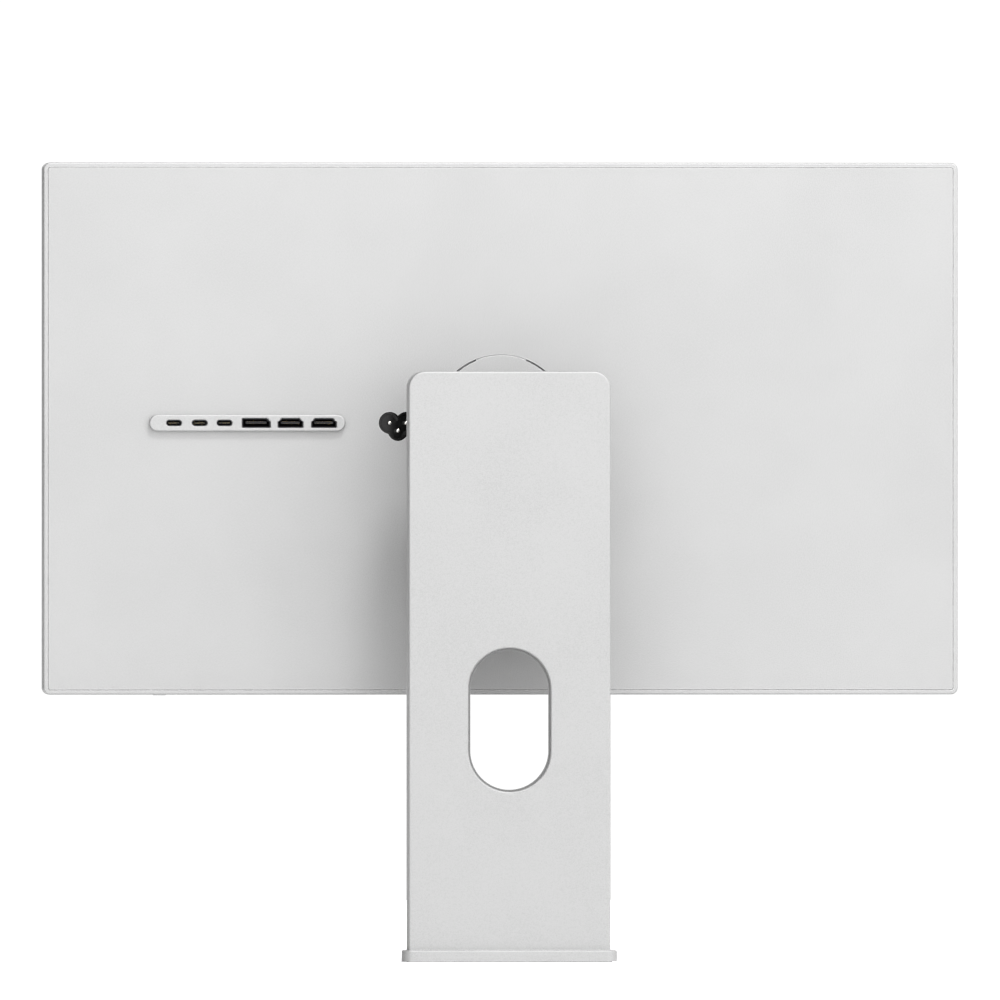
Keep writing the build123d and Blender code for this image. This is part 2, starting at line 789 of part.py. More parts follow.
def power_inlet():
    body = layer(inlet_lobes(inlet_ear_r, inlet_chin_r), 0, inlet_depth)
    flange = at(inlet_x, inlet_z - 2.2, rounded(*inlet_flange, 2))
    body += layer(flange, cover_thick + 0.1, inlet_depth)
    body -= layer(inlet_lobes(inlet_ear_r - inlet_wall, inlet_chin_r - inlet_wall), 0, inlet_recess)
    body = chamfer(body.faces().sort_by(Axis.Y)[-1].edges(), inlet_lip)
    for x, z in inlet_pin_places:
        body -= rod_y(x, z, inlet_pin_r, depth(inlet_depth), panel_rear_y)
    return body


def inlet_pins():
    pins = []
    for x, z in inlet_pin_places:
        pin = rod_y(x, z, inlet_pin_r, depth(inlet_depth), depth(inlet_pin_sink))
        tip = pin.faces().sort_by(Axis.Y)[-1]
        pins.append(fillet(tip.edges(), inlet_pin_tip))
    return group(pins)


# ---------------------------------------------------------------- electronics

board_x, board_z = (84.0, 236.0), (258.0, 388.0)
power_x, power_z = (-78.0, 82.0), (176.0, 252.0)
drive_x, drive_z = (-190.0, -90.0), (300.0, 370.0)
board_front_d = board_rear_d + 1.6
chip_x, chip_z, chip_rear_d = 150.0, 364.0, 6.2
pipe_wide, pipe_thick, pipe_bend = 8.0, 2.8, 14.0
fins_z, fins_long, fins_tall = 452.0, 132.0, 18.0
fins_base_d, fins_end_d = 7.2, 14.4
fin_count, fin_thick = 44, 0.6
fan_x_spans = ((5.0, 65.0), (-65.0, -5.0))
fan_case_z = (386.0, 442.0)


def mainboard():
    wide, tall = board_x[1] - board_x[0], board_z[1] - board_z[0]
    middle_x, middle_z = sum(board_x) / 2, sum(board_z) / 2
    board = rounded(wide, tall, 3)
    for x in (-1, 1):
        for z in (-1, 1):
            board -= Pos(x * (wide / 2 - 5), z * (tall / 2 - 5)) * Circle(1.8)
    return layer(at(middle_x, middle_z, board), board_rear_d, board_front_d)


def chip(x, z, width, tall, rear_d, corner=1.0):
    """A flat block on the mainboard's rear, out to a depth below the display's rear face."""
    return layer(at(x, z, rounded(width, tall, corner)), rear_d, board_rear_d)


def board_chips():
    """The processor, its power stage, the memory chips, the storage stick and the port controller."""
    processor = chip(chip_x, chip_z, 32, 26, chip_rear_d)
    power_stage = [chip(112 + 12.5 * n, 340, 7, 7, 4.8) for n in range(6)]
    memory = [chip(198, 378 - 13 * n, 14, 10, 6.8, 0.5) for n in range(4)]
    storage = chip(140, 296, 80, 22, 5.2)
    controller = chip(212, 290, 24, 30, 5.8)
    return group([processor, *power_stage, *memory, storage, controller])


def heat_pipe():
    """A flattened pipe from the processor up to the fins and along them."""
    start_z = chip_z - 14
    path = FilletPolyline(
        (chip_x, 0, start_z), (chip_x, 0, fins_z), (-62, 0, fins_z), radius=pipe_bend
    )
    start = Plane(origin=(chip_x, 0, start_z), x_dir=(1, 0, 0), z_dir=(0, 0, 1))
    pipe = sweep(start * rounded(pipe_wide, pipe_thick, 1.3), path=path)
    return Pos(0, depth(chip_rear_d - 0.05 - pipe_thick / 2), 0) * pipe


def heatsink_fins():
    base = layer(at(0, fins_z, Rectangle(fins_long, fins_tall)), chip_rear_d, fins_base_d)
    pitch = fins_long / fin_count
    for n in range(fin_count):
        x = pitch * (n + 0.5) - fins_long / 2
        base += layer(at(x, fins_z, Rectangle(fin_thick, fins_tall)), fins_base_d, fins_end_d)
    return base


def fan_housings():
    """Two cases, each with an axle, an inlet in front and a mouth that blows up through the fins."""
    rear, front = fan_case_d
    low, high = rear + 1.0, front - 1.0
    cases = []
    for x in (-fan_x, fan_x):
        case = layer(at(x, sum(fan_case_z) / 2, rounded(60, 56, 4)), rear, front)
        case -= layer(at(x, fan_z, Circle(fan_r + 1.5)), low, high)
        case -= layer(at(x, fan_z + 16, Rectangle(46, 34)), low, high)
        case -= layer(at(x, fan_z, Circle(15)), high, front)
        case += layer(at(x, fan_z, Circle(fan_axle_r)), low, high - 1.0)
        cases.append(case)
    return group(cases)


def fan_rotor(side):
    bore = Circle(fan_axle_r + running)
    blade = Pos(16, 0) * Rot(0, 0, 25) * Rectangle(14.5, 0.9)
    vanes = Sketch() + [Rot(0, 0, 360 / blades * n) * blade for n in range(blades)]
    hub = Circle(fan_hub_r) - bore
    rotor = layer(at(side * fan_x, fan_z, hub + vanes), rotor_d[0] + 0.4, rotor_d[1])
    return rotor + layer(at(side * fan_x, fan_z, Circle(fan_r) - bore), rotor_d[0], rotor_d[0] + 0.4)


def solid_state_drive():
    """A flat drive with a shallow panel pressed into its lid."""
    (low_x, high_x), (low_z, high_z) = drive_x, drive_z
    mid_x, mid_z = (low_x + high_x) / 2, (low_z + high_z) / 2
    case = layer(at(mid_x, mid_z, rounded(high_x - low_x, high_z - low_z, 2)), *drive_d)
    panel = rounded(high_x - low_x - 16, high_z - low_z - 14, 2)
    return case - layer(at(mid_x, mid_z, panel), drive_d[0], drive_d[0] + 0.3)


def power_supply_board():
    (low_x, high_x), (low_z, high_z) = power_x, power_z
    board = rounded(high_x - low_x, high_z - low_z, 3)
    return layer(at((low_x + high_x) / 2, (low_z + high_z) / 2, board), *power_board_d)


def power_supply_parts():
    """Transformer, choke, reservoir capacitors and heat spreader, on the rear of the board."""
    parts = [
        layer(at(-40, 218, rounded(34, 30, 2)), 3.4, power_board_d[0]),
        layer(at(20, 232, rounded(22, 18, 2)), 4.5, power_board_d[0]),
        box((-70, -62), (depth(power_board_d[0]), depth(3.5)), (190, 240)),
        layer(at(62, 236, rounded(18, 14, 1)), 5.0, power_board_d[0]),
    ]
    for n in range(2):
        parts.append(rod_z(13 * n, depth(8.0), 4.4, 182, 212))
    return group(parts)


def inlet_lead():
    """The covered wires from the inlet down to the power supply."""
    return rod_z(inlet_x, depth(9.5), lead_r, 243.0, inlet_z - 2.2 - inlet_flange[1] / 2)


def speakers():
    """Two sealed boxes, each with a mouth in its lower end over a vent."""
    boxes = []
    for side in (-1, 1):
        x, mid_z = side * speaker_x, speaker_low_z + speaker_tall / 2
        case = layer(at(x, mid_z, rounded(speaker_wide, speaker_tall, 4)), *speaker_d)
        case -= rod_z(x, vent_mid_y, 4.6, speaker_low_z - 1, speaker_low_z + 3)
        boxes.append(case)
    return group(boxes)


# ---------------------------------------------------------------- screen


pillar_plans = [  # (X span, Z span, depth of the face that rests on the pillars)
    (board_x, board_z, board_front_d),
    (power_x, power_z, power_board_d[1]),
    (drive_x, drive_z, drive_d[1]),
    *((span, fan_case_z, fan_case_d[1]) for span in fan_x_spans),
]


def lcd_tray():
    """The pan behind the light guide, with pillars that carry the boards, fans and drive."""
    tray = at(0, panel_mid_z, Rectangle(tray_width, tray_height))
    inside = at(0, panel_mid_z, Rectangle(tray_width - 1.6, tray_height - 1.6))
    pan = layer(tray, *tray_d) - layer(inside, guide_d[0], tray_d[1])
    for (low_x, high_x), (low_z, high_z), board_d in pillar_plans:
        for x in (low_x + 5, high_x - 5):
            for z in (low_z + 5, high_z - 5):
                pan += layer(at(x, z, Circle(3.2)), board_d, tray_d[0] + 0.2)
    return pan


def light_guide():
    return layer(at(0, panel_mid_z, Rectangle(tray_width - 2, tray_height - 2)), *guide_d)


def lcd_cell():
    return layer(at(0, panel_mid_z, Rectangle(tray_width - 3, tray_height - 2.5)), *cell_d)


def bezel_mask():
    ring = housing_outline(-glass_gap - 0.1) - at(0, panel_mid_z, Rectangle(active_width, active_height))
    ring -= at(0, camera_z, Circle(mask_window_r))
    return layer(ring, *mask_d)


def front_glass():
    glass = layer(housing_outline(-glass_gap), *glass_d)
    return chamfer(glass.faces().sort_by(Axis.Y)[0].edges(), 0.25)


def camera_module():
    body = layer(at(0, camera_z + 0.15, Rectangle(*camera_board)), *camera_board_d)
    body += layer(at(0, camera_z, Circle(lens_r)), camera_board_d[1], lens_end_d)
    return body - layer(at(0, camera_z, Circle(lens_bore_r)), lens_bore_d, lens_end_d)


# ---------------------------------------------------------------- power button


def power_button():
    """A round cap in the frame's lower wall, with a flange that keeps it from falling out."""
    inside_z = lower_z + rim
    cap = rod_z(button_x, vent_mid_y, button_r, lower_z - button_proud, inside_z + 0.6)
    cap = fillet(cap.faces().sort_by(Axis.Z)[0].edges(), 0.3)
    flange = rod_z(button_x, vent_mid_y, button_r + 1.2, inside_z + 0.02, inside_z + flange_tall)
    return cap + flange


def button_switch():
    low = lower_z + rim + flange_tall + button_travel + 0.3
    switch = rod_z(button_x, vent_mid_y, 3, low, low + switch_tall)
    board = box(
        (button_x - 9, button_x + 9),
        (vent_mid_y - 5, vent_mid_y + 5),
        (low + switch_tall, low + switch_tall + 1.2),
    )
    return switch + board


parts = {
    "foot_plate": foot_plate,
    "foot_pad": foot_pad,
    "foot_screws": foot_screws,
    "column_shell": column_shell,
    "column_front_cover": column_front_cover,
    "cable_hole_liner": cable_hole_liner,
    "column_foot_block": column_foot_block,
    "rail_top_bracket": rail_top_bracket,
    "guide_rails": guide_rails,
    "spring_tapes": spring_tapes,
    "lift_carriage": lift_carriage,
    "carriage_bushes": carriage_bushes,
    "lift_arm": lift_arm,
    "arm_screws": arm_screws,
    "spring_drum_left": lambda: spring_drum(1),
    "spring_drum_right": lambda: spring_drum(-1),
    "tilt_yoke": tilt_yoke,
    "tilt_shaft": tilt_shaft,
    "tilt_friction_washers": tilt_friction_washers,
    "tilt_nuts": tilt_nuts,
    "tilt_end_caps": tilt_end_caps,
    "mount_disc": mount_disc,
    "disc_screws": disc_screws,
    "pivot_spigot": pivot_spigot,
    "pivot_wave_washer": pivot_wave_washer,
    "pivot_nut": pivot_nut,
    "perimeter_frame": perimeter_frame,
    "rear_cover": rear_cover,
    "hub_recess_ring": hub_recess_ring,
    "hub_mount_plate": hub_mount_plate,
    "pivot_friction_washer": pivot_friction_washer,
    "port_strip": port_strip,
    "oval_sockets": oval_sockets,
    "oval_socket_tongues": oval_socket_tongues,
    "stepped_video_sockets": stepped_video_sockets,
    "notched_video_socket": notched_video_socket,
    "video_socket_tongues": video_socket_tongues,
    "power_inlet": power_inlet,
    "inlet_pins": inlet_pins,
    "mainboard": mainboard,
    "board_chips": board_chips,
    "heat_pipe": heat_pipe,
    "heatsink_fins": heatsink_fins,
    "fan_housings": fan_housings,
    "fan_rotor_left": lambda: fan_rotor(1),
    "fan_rotor_right": lambda: fan_rotor(-1),
    "solid_state_drive": solid_state_drive,
    "power_supply_board": power_supply_board,
    "power_supply_parts": power_supply_parts,
    "inlet_lead": inlet_lead,
    "speakers": speakers,
    "lcd_tray": lcd_tray,
    "light_guide": light_guide,
    "lcd_cell": lcd_cell,
    "bezel_mask": bezel_mask,
    "front_glass": front_glass,
    "camera_module": camera_module,
    "vent_grilles": vent_grilles,
    "power_button": power_button,
    "button_switch": button_switch,
}

os.makedirs("parts", exist_ok=True)
for name, make in parts.items():
    shape = make()
    export_step(shape, f"parts/{name}.step")
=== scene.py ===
"""Looks for an all-in-one desktop computer: finishes, fine pieces, studio and camera."""

import json
import math

import bmesh
import bpy
from bpy.props import FloatProperty, FloatVectorProperty, IntProperty, PointerProperty
from bpy.types import Operator, Panel, PropertyGroup
from mathutils import Matrix, Vector


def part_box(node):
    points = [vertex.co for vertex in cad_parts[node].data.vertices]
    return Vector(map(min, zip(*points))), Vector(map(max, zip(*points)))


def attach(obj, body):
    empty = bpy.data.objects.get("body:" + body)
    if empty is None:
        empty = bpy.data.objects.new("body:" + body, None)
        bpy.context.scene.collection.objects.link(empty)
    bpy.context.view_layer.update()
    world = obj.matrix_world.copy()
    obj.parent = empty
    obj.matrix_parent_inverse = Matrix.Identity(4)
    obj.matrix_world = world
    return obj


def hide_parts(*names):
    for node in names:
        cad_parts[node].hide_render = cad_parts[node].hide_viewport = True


bl_info = {
    "name": "Desktop computer finisher",
    "version": (1, 0, 0),
    "blender": (4, 5, 0),
    "location": "3D View > Sidebar > Computer",
    "description": "Finishes, fine pieces and studio for an all-in-one computer on a lift stand",
    "category": "Object",
}

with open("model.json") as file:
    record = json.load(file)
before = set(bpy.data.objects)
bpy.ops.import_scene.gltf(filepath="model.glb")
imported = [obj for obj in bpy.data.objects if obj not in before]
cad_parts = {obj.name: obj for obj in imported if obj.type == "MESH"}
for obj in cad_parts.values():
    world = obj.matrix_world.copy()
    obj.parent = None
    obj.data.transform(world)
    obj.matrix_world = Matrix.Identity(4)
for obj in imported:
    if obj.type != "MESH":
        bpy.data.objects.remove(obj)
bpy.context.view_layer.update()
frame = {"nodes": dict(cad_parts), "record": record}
NODES = frame["nodes"]
MM = 0.001
ELEMENT_PITCH = 0.2745 * MM  # a screen 527 mm wide with 1920 picture elements across
SHARPEST_SMOOTH = 32.0  # degrees between two faces that still look like one curved surface

# The coats that no setting changes. Each row is the record's slot, the material's name, its
# colour and its roughness. Then come the width of the lines, or the grain's size and depth.
METAL_COATS = (
    ("steel", "zinc_plate", (0.56, 0.56, 0.58), 0.28, 0.4 * MM),
    ("spring_steel", "rolled_spring", (0.44, 0.45, 0.50), 0.24, 0.3 * MM),
    ("tray_steel", "coated_sheet", (0.58, 0.58, 0.58), 0.38, 0.8 * MM),
    ("fin_aluminium", "mill_aluminium", (0.72, 0.72, 0.73), 0.34, 0.5 * MM),
)
PLASTIC_COATS = (
    ("rotor_plastic", "fan_moulding", (0.045, 0.045, 0.048), 0.4, 0.8 * MM, 0.01 * MM),
    ("tongue_plastic", "tongue_moulding", (0.012, 0.012, 0.013), 0.5, 0.3 * MM, 0.01 * MM),
    ("chip_plastic", "chip_moulding", (0.025, 0.025, 0.027), 0.55, 0.4 * MM, 0.01 * MM),
    ("friction_plastic", "bearing_plastic", (0.78, 0.75, 0.66), 0.5, 0.8 * MM, 0.01 * MM),
    ("guide_acrylic", "guide_sheet", (0.84, 0.87, 0.90), 0.3, 1.0 * MM, 0.02 * MM),
    ("lead_cover", "lead_sleeve", (0.02, 0.02, 0.02), 0.5, 0.5 * MM, 0.01 * MM),
    ("black_mask", "printed_mask", (0.006, 0.006, 0.006), 0.55, 0.4 * MM, 0.005 * MM),
)


# ---------------------------------------------------------------- settings


def colour_prop(name, description, default):
    return FloatVectorProperty(
        name=name, description=description, default=default, subtype="COLOR", size=3, min=0, max=1
    )


def length_prop(name, description, default):
    return FloatProperty(
        name=name, description=description, default=default, unit="LENGTH", precision=5
    )


def number_prop(name, description, default):
    return FloatProperty(name=name, description=description, default=default)


def count_prop(name, description, default, least=1):
    return IntProperty(name=name, description=description, default=default, min=least)


def place_prop(name, description, default):
    return FloatVectorProperty(
        name=name, description=description, default=default, size=3, subtype="XYZ"
    )


class FinishSettings(PropertyGroup):
    """Colours and textures of the surfaces."""

    housing: colour_prop("Housing metal", "Blasted aluminium of the display", (0.44, 0.44, 0.44))
    stand: colour_prop("Stand metal", "Blasted aluminium of the stand", (0.43, 0.43, 0.43))
    disc: colour_prop("Hub metal", "Blasted aluminium of the hub plate", (0.44, 0.44, 0.44))
    liner: colour_prop("Liner metal", "Satin grey of the cable hole's lining", (0.20, 0.20, 0.20))
    grain: length_prop("Blast grain", "Size of the dimples in the blasted metal", 0.0006)
    grain_depth: length_prop("Blast depth", "Depth of the dimples in the blasted metal", 0.000012)
    roughness: number_prop("Metal roughness", "Roughness of the blasted metal", 0.62)
    black_gloss: colour_prop("Gloss black", "Moulding of the mains inlet", (0.003, 0.003, 0.003))
    black_matt: colour_prop("Matt black", "Inner mouldings", (0.012, 0.012, 0.013))
    gold: colour_prop("Contact gold", "Plating of the contacts", (0.95, 0.70, 0.30))
    nickel: colour_prop("Nickel", "Plating of the inlet's pins", (0.78, 0.77, 0.74))
    # Painted shade in part: the socket shells' near-black plating colour also stands in for the
    # shade in their openings.
    black_nickel_and_shade: colour_prop("Black nickel", "Plating of the socket shells", (0.030, 0.030, 0.032))
    rubber: colour_prop("Rubber", "Pad under the foot", (0.018, 0.018, 0.019))
    board: colour_prop("Board green", "Lacquer of the circuit boards", (0.012, 0.10, 0.05))
    copper: colour_prop("Copper", "Heat pipe", (0.86, 0.42, 0.24))


class DetailSettings(PropertyGroup):
    """Sizes of the fine pieces."""

    oval_contacts: count_prop("Oval contacts", "Contacts on a side of an oval socket's tongue", 12)
    video_contacts: count_prop("Video contacts", "Contacts on a side of a video tongue", 10)
    contact_width: length_prop("Contact width", "Width of one gold contact", 0.00030)
    contact_thick: length_prop("Contact height", "How far a contact stands off", 0.00006)
    contact_root: length_prop("Contact root", "Bare tongue behind the contacts", 0.0015)
    contact_tip: length_prop("Contact tip", "Bare tongue in front of the contacts", 0.0005)
    pin_dome: number_prop("Pin dome", "Height of a pin's domed tip as a share of its radius", 0.6)
    button_collar: length_prop("Button collar", "How far the collar stands out", 0.0012)
    button_collar_thick: length_prop("Collar thickness", "Thickness of the collar", 0.0008)
    button_lip: length_prop("Button lip", "Rounding of the button's outer edge", 0.00035)
    dish_depth: length_prop("Button dish", "Depth of the hollow in the power button", 0.0003)
    dish_share: number_prop("Dish width", "Width of the hollow as a share of the button's", 0.8)
    lens_radius: length_prop("Lens radius", "Radius of the camera's front lens", 0.0011)
    lens_sag: length_prop("Lens sag", "How far the lens bulges", 0.0003)
    lens_edge: length_prop("Lens edge", "Thickness of the lens at its edge", 0.0001)
    lens_inset: length_prop("Lens inset", "From the camera's front to the lens's edge", 0.00055)
    lens_drop: length_prop("Lens drop", "How far the lens is under the camera's middle", 0.00015)
    rounds: count_prop("Round steps", "Sides of a turned piece", 48, least=12)


class StageSettings(PropertyGroup):
    """Camera, lights and floor."""

    yaw: number_prop("Camera yaw", "Turn from straight behind, in degrees", 3.36)
    distance: length_prop("Camera distance", "From the rear cover to the camera", 20.0)
    view_width: length_prop("View width", "Width of the view at the rear cover", 0.6004)
    target_side: length_prop("Target side", "From the middle line to the view's middle", 0.0006)
    target_height: length_prop("Target height", "Height of the middle of the view", 0.2762)
    view_end: length_prop("View end", "Furthest the camera sees", 200.0)
    floor_size: length_prop("Floor size", "Half the side of the floor", 3.0)
    floor_drop: length_prop("Floor drop", "How far the floor is under the foot", 0.0002)
    floor: colour_prop("Floor", "Pale studio floor", (0.93, 0.93, 0.93))
    floor_glow: number_prop("Floor glow", "How much paler the floor looks than it is lit", 0.6)
    backdrop: number_prop("Backdrop", "Strength of the white surroundings as seen", 1.05)
    sky: number_prop("Sky", "Mean strength of the white surroundings as light", 1.40)
    sky_least: number_prop("Least sky", "Least share of the sky's strength from any way", 0.05)
    sky_way: place_prop(
        "Bright side", "Where the surroundings are brightest, and by how much", (-0.72, 0.60, 0.32)
    )
    waist: number_prop("Waist", "How much darker the surroundings are overhead", 1.0)
    flank: number_prop("Flanks", "How much darker they are at the far left and right", 0.7)
    lit_height: length_prop("Lit height", "Height that the lights point at", 0.3)
    key: number_prop("Key light", "Power of the high light", 22.0)
    key_place: place_prop("Key place", "Where the high light is", (-0.25, 1.2, 1.95))
    key_size: length_prop("Key size", "Width of the high light", 0.4)
    front: number_prop("Front light", "Power of the light before the screen", 14.0)
    front_place: place_prop("Front place", "Where the front light is", (0.9, -2.2, 1.6))
    front_size: length_prop("Front size", "Width of the front light", 1.6)


# ---------------------------------------------------------------- node helpers


def add(tree, kind, inputs=(), **settings):
    """A node with its settings, and its inputs filled from values or linked from sockets."""
    made = tree.nodes.new(kind)
    for key, value in settings.items():
        setattr(made, key, value)
    for key, value in dict(inputs).items():
        socket = made.inputs[key]
        if isinstance(value, bpy.types.NodeSocket):
            tree.links.new(value, socket)
        else:
            socket.default_value = value
    return made


def effect(name, inputs, outputs):
    """An empty node group with number inputs and number outputs, and its two end nodes."""
    tree = bpy.data.node_groups.new(name, "ShaderNodeTree")
    face, number = tree.interface, "NodeSocketFloat"
    for label, default in inputs:
        face.new_socket(name=label, in_out="INPUT", socket_type=number).default_value = default
    for label in outputs:
        face.new_socket(name=label, in_out="OUTPUT", socket_type=number)
    return tree, tree.nodes.new("NodeGroupInput"), tree.nodes.new("NodeGroupOutput")


def maths(tree, operation, *values):
    """One sum of one or two numbers or sockets."""
    return add(tree, "ShaderNodeMath", enumerate(values), operation=operation).outputs[0]


def spread(tree, value, low, high):
    """What is from low to high becomes 0 to 1."""
    ends = {"Value": value, "From Min": low, "From Max": high}
    return add(tree, "ShaderNodeMapRange", ends).outputs[0]


def ranged(tree, value, low, high):
    """What is from 0 to 1 becomes low to high, for roughness."""
    ends = {"Value": value, "To Min": low, "To Max": high}
    return add(tree, "ShaderNodeMapRange", ends).outputs[0]


def own_place(tree):
    """Where a point of the surface is on its own piece, in metres."""
    return add(tree, "ShaderNodeTexCoord").outputs["Object"]


def noise(tree, place, scale, **inputs):
    """A noise texture's value. Inputs are named in small letters."""
    named = {key.capitalize(): value for key, value in inputs.items()}
    made = add(tree, "ShaderNodeTexNoise", {"Vector": place, "Scale": scale, **named})
    return made.outputs[0]


def build_grain():
    """Fine dimples over slow mottling, as blasting and moulding leave them."""
    start = [("Size", 0.001), ("Mottle", 0.3)]
    tree, given, result = effect("fine_grain", start, ["Tone", "Height"])
    place = own_place(tree)
    scale = maths(tree, "DIVIDE", 1.0, given.outputs["Size"])
    fine = noise(tree, place, scale, detail=3.0, roughness=0.6)
    broad = noise(tree, place, 14.0, detail=2.0)
    slow = maths(tree, "MULTIPLY", broad, given.outputs["Mottle"])
    tree.links.new(maths(tree, "ADD", fine, slow), result.inputs["Tone"])
    tree.links.new(fine, result.inputs["Height"])
    return tree


def build_brushing():
    """Long fine lines along X, as drawing, rolling or brushing leave them."""
    start = [("Size", 0.0004), ("Stretch", 0.03)]
    tree, given, result = effect("drawn_lines", start, ["Tone", "Height"])
    squeeze = add(tree, "ShaderNodeCombineXYZ", {0: given.outputs["Stretch"], 1: 1.0, 2: 1.0})
    both = {0: own_place(tree), 1: squeeze.outputs[0]}
    along = add(tree, "ShaderNodeVectorMath", both, operation="MULTIPLY").outputs[0]
    scale = maths(tree, "DIVIDE", 1.0, given.outputs["Size"])
    lines = noise(tree, along, scale, detail=4.0)
    tree.links.new(lines, result.inputs["Tone"])
    tree.links.new(lines, result.inputs["Height"])
    return tree


def build_wear_and_highlight():
    """A mask along corners and edges, broken up by noise, for rubbed edges and painted edge
    highlights.
    """
    tree, given, result = effect("edge_wear_and_highlight", [("Reach", 0.0006), ("Strength", 1.0)], ["Mask"])
    soft = add(tree, "ShaderNodeBevel", {"Radius": given.outputs["Reach"]}, samples=4)
    both = {0: soft.outputs[0], 1: add(tree, "ShaderNodeNewGeometry").outputs["Normal"]}
    same = add(tree, "ShaderNodeVectorMath", both, operation="DOT_PRODUCT").outputs["Value"]
    edge = spread(tree, maths(tree, "SUBTRACT", 1.0, same), low=0.01, high=0.25)
    patchy = maths(tree, "MULTIPLY", edge, noise(tree, own_place(tree), 420.0, detail=2.0))
    mask = maths(tree, "MULTIPLY", patchy, given.outputs["Strength"])
    tree.links.new(mask, result.inputs["Mask"])
    return tree


def build_dust():
    """Sparse specks and a thin film, for gloss surfaces that have been handled."""
    tree, given, result = effect("fine_dust", [("Amount", 0.3)], ["Mask"])
    place = own_place(tree)
    cells = add(tree, "ShaderNodeTexVoronoi", {"Vector": place, "Scale": 650.0})
    speck = spread(tree, cells.outputs["Distance"], low=0.16, high=0.05)
    film = noise(tree, place, 35.0, detail=5.0)
    both = maths(tree, "ADD", maths(tree, "MULTIPLY", speck, 0.7), film)
    tree.links.new(maths(tree, "MULTIPLY", both, given.outputs["Amount"]), result.inputs["Mask"])
    return tree


EFFECTS = {
    "fine_grain": build_grain,
    "drawn_lines": build_brushing,
    "edge_wear_and_highlight": build_wear_and_highlight,
    "fine_dust": build_dust,
}


def place_group(tree, name, inputs=()):
    """One of the effects in a material's tree. The effect is built the first time it is wanted."""
    made = tree.nodes.new("ShaderNodeGroup")
    made.node_tree = bpy.data.node_groups.get(name) or EFFECTS[name]()
    for key, value in dict(inputs).items():
        made.inputs[key].default_value = value
    return made


def cast(colour, share, lift=0.0):
    """A darker or lighter cast of a colour."""
    return [min(1.0, c * share + lift) for c in colour]


def fresh_material(name, metallic=0.0):
    """A material with nothing in its tree but its shader."""
    made = bpy.data.materials.new(name)
    made.use_nodes = True
    shader = made.node_tree.nodes["Principled BSDF"]
    shader.inputs["Metallic"].default_value = metallic
    return made, made.node_tree, shader


def layered(tree, factor, under, over):
    """One colour over another where the factor is high. Each is a socket or a plain colour."""
    mix = add(tree, "ShaderNodeMix", data_type="RGBA")
    tree.links.new(factor, mix.inputs["Factor"])
    for socket, value in zip([s for s in mix.inputs if s.type == "RGBA"], (under, over)):
        if isinstance(value, bpy.types.NodeSocket):
            tree.links.new(value, socket)
        else:
            socket.default_value = [*value, 1.0]
    return next(socket for socket in mix.outputs if socket.type == "RGBA")


def tinted(tree, factor, colour, low, high):
    """A colour that runs from a darker to a lighter cast of itself."""
    factor = spread(tree, factor, low=0.3, high=0.7)
    return layered(tree, factor, cast(colour, low), cast(colour, high))


def bumped(tree, shader, height, depth):
    bump = add(tree, "ShaderNodeBump", {"Height": height, "Distance": depth, "Strength": 1.0})
    tree.links.new(bump.outputs[0], shader.inputs["Normal"])


# ---------------------------------------------------------------- finishes


def blasted_metal(name, colour, grain, depth, roughness):
    """Bead-blasted, clear-anodised aluminium: dimples, slow mottling, and edges painted lighter as
    a painted highlight, with a little rubbed wear.
    """
    made, tree, shader = fresh_material(name, metallic=1.0)
    texture = place_group(tree, "fine_grain", {"Size": grain, "Mottle": 0.25})
    wear_and_highlight = place_group(tree, "edge_wear_and_highlight", {"Reach": 1.0 * MM, "Strength": 1.6})
    tone = tinted(tree, texture.outputs["Tone"], colour, low=0.86, high=1.12)
    # Painted highlight: where the edge mask is high the colour is lightened to 1.7 times itself,
    # standing in for the light the rounded edges catch; only a little of it is rubbed wear.
    base = layered(tree, wear_and_highlight.outputs["Mask"], tone, cast(colour, 1.7))
    tree.links.new(base, shader.inputs["Base Color"])
    rough = ranged(tree, texture.outputs["Tone"], roughness - 0.06, roughness + 0.08)
    tree.links.new(rough, shader.inputs["Roughness"])
    bumped(tree, shader, texture.outputs["Height"], depth)
    return made


def drawn_metal(name, colour, roughness, line, metallic=1.0):
    """Rolled, drawn or ground metal with fine lines along it, each as wide as line."""
    made, tree, shader = fresh_material(name, metallic=metallic)
    lines = place_group(tree, "drawn_lines", {"Size": line, "Stretch": 0.05})
    wear_and_highlight = place_group(tree, "edge_wear_and_highlight", {"Reach": 0.3 * MM, "Strength": 0.8})
    tone = tinted(tree, lines.outputs["Tone"], colour, low=0.86, high=1.08)
    base = layered(tree, wear_and_highlight.outputs["Mask"], tone, cast(colour, 1.2))
    tree.links.new(base, shader.inputs["Base Color"])
    rough = ranged(tree, lines.outputs["Tone"], roughness, roughness + 0.14)
    tree.links.new(rough, shader.inputs["Roughness"])
    bumped(tree, shader, lines.outputs["Height"], depth=line * 0.02)
    return made


def painted_shade_metal(name, colour, mouth, reach):
    """A plated shell, bright at its mouth and painted dark by the time it is a little way in:
    painted shade inside the opening.
    """
    made = drawn_metal(name, colour, roughness=0.2, line=0.3 * MM)
    tree, shader = made.node_tree, made.node_tree.nodes["Principled BSDF"]
    bright = shader.inputs["Base Color"].links[0].from_socket
    inward = add(tree, "ShaderNodeSeparateXYZ", {0: own_place(tree)}).outputs["Y"]
    painted_shade = spread(tree, inward, low=mouth, high=mouth - reach)
    # Painted shade: from the mouth inward the colour falls to 3 percent of itself, standing in for
    # the shade deep in the socket.
    tree.links.new(layered(tree, painted_shade, bright, cast(colour, 0.03)), shader.inputs["Base Color"])
    return made


